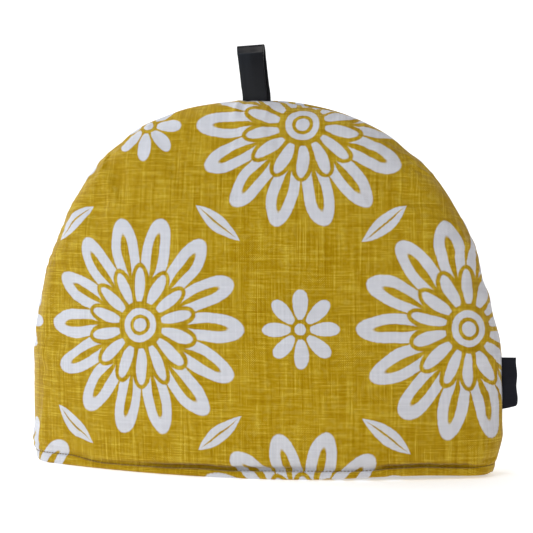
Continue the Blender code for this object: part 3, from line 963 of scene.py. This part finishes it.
# Polyester twill tape, heat-set and smooth: charcoal, with a faint diagonal rib and a soft shine along folds
def twillTape(name):
    material, tree, place = startCloth(name)
    parts = addNode(tree, "SeparateXYZ", {0: place})
    stretched = addNode(tree, "Mapping", {"Vector": place, "Scale": twill["streaks"]})
    streaks = addNode(tree, "TexNoise", {"Vector": stretched.outputs[0], "Scale": 1.0, "Detail": 2.0},
                      noise_dimensions="2D")
    made = {"u": parts.outputs[0], "v": parts.outputs[1], "streaks": streaks.outputs[0]}
    addSums(tree, made, [
        ("fold", "PINGPONG", "u", twill["turnsAfter"]),
        ("slant", "ADD", "fold", "v"),
        ("phase", "MULTIPLY", "slant", 2 * math.pi / twill["ribWide"]),
        ("rib", "SINE", "phase"),
        ("ribShade", "MULTIPLY_ADD", "rib", twill["ribDepth"], 0.5),
        ("shade", "MULTIPLY_ADD", "streaks", twill["streakDepth"], "ribShade"),
    ])
    deepAt, paleAt = twill["shades"]
    tone = addNode(tree, "MapRange", {"Value": made["shade"], "From Min": deepAt, "From Max": paleAt})
    colour = addNode(tree, "Mix", {0: tone.outputs[0], 6: linearColour(twill["deep"]),
                                   7: linearColour(twill["pale"])}, data_type="RGBA")
    finishCloth(tree, twill, colour, made["rib"])
    return material


satin = {
    "ribs": (0.06, 2.4, 1.0),  # to the mm along and across the ribbon
    "deep": "0a0a12",
    "pale": "171722",
    "bump": 0.2,
    "bumpDeep": 0.08,
    "shader": {"Roughness": 0.55, "Specular IOR Level": 0.15},
}


# Polyester satin ribbon, unprinted: near black, smooth, with fine ribs along its length
def satinRibbon(name):
    material, tree, place = startCloth(name)
    stretched = addNode(tree, "Mapping", {"Vector": place, "Scale": satin["ribs"]})
    threads = addNode(tree, "TexNoise", {"Vector": stretched.outputs[0], "Scale": 1.0, "Detail": 1.0},
                      noise_dimensions="2D")
    colour = addNode(tree, "Mix", {0: threads.outputs[0], 6: linearColour(satin["deep"]),
                                   7: linearColour(satin["pale"])}, data_type="RGBA")
    finishCloth(tree, satin, colour, threads.outputs[0])
    return material


# Spun polyester sewing thread, matt. Its brown is darker than the thread's own colour and stands in for the
# shade of the ditch it sinks into: partly its own colour, partly painted shade
def sewingThread(name):
    material, tree = startMaterial(name)
    shader = tree.nodes["Principled BSDF"]
    place = addNode(tree, "TexCoord")
    noise = addNode(tree, "TexNoise", {"Vector": place.outputs["Object"], "Scale": stitch["toneScale"]})
    colour = addNode(tree, "Mix", {0: noise.outputs[0], 6: linearColour(stitch["deep"]),
                                   7: linearColour(stitch["pale"])}, data_type="RGBA")
    tree.links.new(colour.outputs[2], shader.inputs["Base Color"])
    shader.inputs["Roughness"].default_value = 0.7
    return material


# Lockstitches down in the hem's ditch
stitch = {
    "long": 0.0017,
    "wide": 0.0007,
    "proud": 0.00014,
    "fromEnds": 0.006,
    # deep and pale: browns darkened to stand in for the ditch's shade, partly the thread's colour and partly
    # painted shade
    "deep": "6d5222",
    "pale": "8d7038",
    "toneScale": 900.0,  # to the metre
}


calico = plainCalico("unbleached cotton calico")
thread = sewingThread("spun polyester thread")
frontLinen = printedLinen("printed slub linen front", (75.0, -104.0))
frontPanel, frontSkin = makePanel("front_padded_panel", -1, [frontLinen, calico])
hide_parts("front_panel")
backLinen = printedLinen("printed slub linen back", (18.0, -38.0))
backPanel, backSkin = makePanel("back_padded_panel", 1, [backLinen, calico])
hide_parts("back_panel")
print("panels made")


def makeHemStitches(name, skin, side):
    line = np.stack([skin[axis][ditchRow] for axis in "xyz"], axis=1)
    steps = lengthAlong(line)
    size = Matrix.Diagonal((stitch["long"] / 2, stitch["wide"] / 2, stitch["wide"] / 2, 1.0))
    poleAlong = Matrix.Rotation(math.pi / 2, 4, "Y")
    mesh = bmesh.new()
    for start in np.arange(stitch["fromEnds"], steps[-1] - stitch["fromEnds"], hem["stitchPitch"]):
        ends = [Vector([np.interp(at, steps, line[:, axis]) for axis in range(3)])
                for at in (start, start + stitch["long"])]
        way = (ends[1] - ends[0]).normalized()
        middle = (ends[0] + ends[1]) / 2 + Vector((0, side * stitch["proud"], 0))
        turn = way.to_track_quat("X", "Z").to_matrix().to_4x4()
        bmesh.ops.create_uvsphere(mesh, u_segments=8, v_segments=6, radius=1.0,
                                  matrix=Matrix.Translation(middle) @ turn @ size @ poleAlong)
    for face in mesh.faces:
        face.smooth = True
    made = finishPiece(name, mesh, [thread])
    return made


makeHemStitches("front_hem_stitches", frontSkin, -1)
makeHemStitches("back_hem_stitches", backSkin, 1)
print("hem stitches made")


# Ends a folded sheet: its flat coordinates, its outward side, and its thickness, half to each side
def finishSheet(name, mesh, flat, material, thickness):
    uvLayer = mesh.loops.layers.uv.new("cloth")
    for face in mesh.faces:
        face.smooth = True
        for corner in face.loops:
            corner[uvLayer].uv = flat[corner.vert.index]
    bmesh.ops.recalc_face_normals(mesh, faces=mesh.faces[:])
    made = finishPiece(name, mesh, [material])
    solid = made.modifiers.new("Thickness", "SOLIDIFY")
    solid.thickness = thickness
    solid.offset = 0.0
    solid.use_even_offset = True
    return made


# Depth, height and length along the tape, from root to root
def tapePath():
    points = np.array(tapeLine) * mm
    reached = lengthAlong(points)
    places = np.linspace(0.0, reached[-1], tape["steps"] + 1)
    line = smoothTable(np.column_stack([reached, points]), places)
    return line[:, 0], line[:, 1], lengthAlong(line)


def makeLoop(name, material):
    depth, height, length = tapePath()
    mesh = bmesh.new()
    bmesh.ops.create_grid(mesh, x_segments=tape["across"], y_segments=tape["steps"], size=1.0)
    flat = {}
    for vertex in mesh.verts:
        aside = vertex.co.x * tape["width"] / 2
        step = round((vertex.co.y + 1) / 2 * tape["steps"])
        up = float(height[step])
        flat[vertex.index] = (aside, length[step])
        share = min(1.0, max(0.0, up / tape["height"]))
        lean = tape["lean"] * float(smoothStep(0.0, tape["leansOver"], up))
        cup = tape["cup"] * vertex.co.x**2 * math.sin(math.pi * share)
        aside *= 1 - tape["pinched"] * float(smoothStep(1.0, tape["pinchedUpTo"], share))
        aside *= 1 + tape["flare"] * float(smoothStep(*tape["flareOver"], share))
        secondLeg = float(smoothStep(*tape["shiftOver"], length[step] / length[-1]))
        aside += tape["legShift"] * (1 - share) * secondLeg
        vertex.co = Vector((
            tape["x"] + aside * math.cos(lean) - up * math.sin(lean),
            float(depth[step]) + cup,
            dome["height"] + up * math.cos(lean) + aside * math.sin(lean) * tape["squareness"],
        ))
    made = finishSheet(name, mesh, flat, material, tape["thickness"])
    edge = made.modifiers.new("Selvedge", "BEVEL")
    edge.width = tape["edgeBevel"]
    edge.segments = 2
    edge.limit_method = "ANGLE"
    return made


loop = makeLoop("tape_hanging_loop", twillTape("polyester twill tape"))
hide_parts("hanging_loop")


def makeLabel(name, material):
    foldBase = label["out"] - label["foldRound"] - label["thickness"] / 2
    outs = np.linspace(-rootDepth, foldBase, label["layerSteps"] + 1)
    turns = np.linspace(0, math.pi, label["foldSteps"] + 1)[1:-1]
    out = np.concatenate([outs, foldBase + label["foldRound"] * np.sin(turns), outs[::-1]])
    front = np.full(len(outs), -label["foldRound"])
    depth = np.concatenate([front, -label["foldRound"] * np.cos(turns), -front])
    length = lengthAlong(np.column_stack([depth, out]))
    mesh = bmesh.new()
    bmesh.ops.create_grid(mesh, x_segments=label["along"], y_segments=len(out) - 1, size=1.0)
    flat = {}
    for vertex in mesh.verts:
        step = round((vertex.co.y + 1) / 2 * (len(out) - 1))
        down = (1 - vertex.co.x) / 2
        flat[vertex.index] = (length[step], down * label["height"])
        free = max(0.0, float(out[step])) / label["out"]
        ripple = label["ripple"] * free * math.sin(2 * math.pi * label["ripples"] * down + 0.5)
        wave = math.sin(2 * math.pi * (down - label["edgeWaveFrom"]) / label["edgeWaveLong"])
        wavy = label["edgeWave"] * wave + label["edgeSlant"] * down
        wavy -= label["cornerRound"] * float(smoothStep(label["cornerFrom"], 1.0, down))
        lift = label["cornerLift"] * free ** label["liftPower"] * down**2
        vertex.co = Vector((
            dome["centreX"] + dome["halfWidth"] + float(out[step]) + wavy * free**2,
            float(depth[step]) + label["cornerCurl"] * free**2 * down + ripple,
            label["top"] - down * label["height"] + lift,
        ))
    made = finishSheet(name, mesh, flat, material, label["thickness"])
    return made


sideLabel = makeLabel("folded_side_label", satinRibbon("polyester satin ribbon"))
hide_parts("side_label")
print("loop and label made")


# Floor and light

studio = {
    "paperWide": 5.0,
    "paperFront": -2.6,
    "bendFrom": 1.3,
    "bendRound": 0.9,
    "bendSteps": 16,
    "wallHigh": 2.6,
    "sky": 0.385,
    # Power, place, size and colour of each soft light
    "key": (11.8, (-1.15, -1.32, 1.0), 1.5, (0.62, 0.8, 1.0)),
    "side": (16.0, (-1.15, 0.4, 1.3), 0.8, (0.95, 0.98, 1.0)),
    "top": (5.0, (-0.2, -1.0, 1.6), 0.5, (1.0, 0.97, 0.93)),
    "aimAt": (0.0, 0.0, 0.12),
    "floorGlow": 0.48,
    "wallGlow": 0.5,
    "glowRises": (0.2, 1.4),  # metres behind the cosy over which the paper gets brighter
}


# Matt background paper, pale and even
def backgroundPaper(name):
    material, tree = startMaterial(name)
    shader = tree.nodes["Principled BSDF"]
    shader.inputs["Base Color"].default_value = linearColour("f6f6f5")
    shader.inputs["Roughness"].default_value = 0.9
    shader.inputs["Specular IOR Level"].default_value = 0.1
    shader.inputs["Emission Color"].default_value = linearColour("f8f8f8")
    place = addNode(tree, "TexCoord")
    parts = addNode(tree, "SeparateXYZ", {0: place.outputs["Object"]})
    glow = addNode(tree, "MapRange", {"Value": parts.outputs[1], "From Min": studio["glowRises"][0],
                                      "From Max": studio["glowRises"][1], "To Min": studio["floorGlow"],
                                      "To Max": studio["wallGlow"]})
    tree.links.new(glow.outputs[0], shader.inputs["Emission Strength"])
    return material


def makePaper():
    left, end = -studio["paperWide"] / 2, studio["bendFrom"] + studio["bendRound"]
    mesh = bmesh.new()
    side = [mesh.verts.new((left, studio["paperFront"], 0.0))]
    for step in range(studio["bendSteps"] + 1):
        angle = math.pi / 2 * step / studio["bendSteps"]
        side.append(mesh.verts.new((
            left,
            studio["bendFrom"] + studio["bendRound"] * math.sin(angle),
            studio["bendRound"] * (1 - math.cos(angle)),
        )))
    side.append(mesh.verts.new((left, end, studio["wallHigh"])))
    edges = [mesh.edges.new(pair) for pair in zip(side, side[1:])]
    pulled = bmesh.ops.extrude_edge_only(mesh, edges=edges)
    moved = [item for item in pulled["geom"] if isinstance(item, bmesh.types.BMVert)]
    bmesh.ops.translate(mesh, verts=moved, vec=(studio["paperWide"], 0, 0))
    bmesh.ops.recalc_face_normals(mesh, faces=mesh.faces[:])
    for face in mesh.faces:
        face.smooth = True
    addObject("background_paper", mesh, [backgroundPaper("matt background paper")])


def addLight(name, power, place, size, colour):
    data = bpy.data.lights.new(name, "AREA")
    data.energy = power
    data.shape = "SQUARE"
    data.size = size
    data.color = colour
    made = bpy.data.objects.new(name, data)
    made.location = place
    aim = Vector(studio["aimAt"]) - Vector(place)
    made.rotation_euler = aim.to_track_quat("-Z", "Y").to_euler()
    bpy.context.scene.collection.objects.link(made)


def makeLight():
    world = bpy.data.worlds.new("studio")
    world.use_nodes = True
    background = world.node_tree.nodes["Background"]
    background.inputs["Color"].default_value = linearColour("fffbfa")
    background.inputs["Strength"].default_value = studio["sky"]
    bpy.context.scene.world = world
    for name in ("key", "side", "top"):
        addLight(name, *studio[name])
    bpy.context.scene.view_settings.view_transform = "Standard"
    bpy.context.scene.view_settings.look = "None"


makePaper()
makeLight()
print("floor and light made")
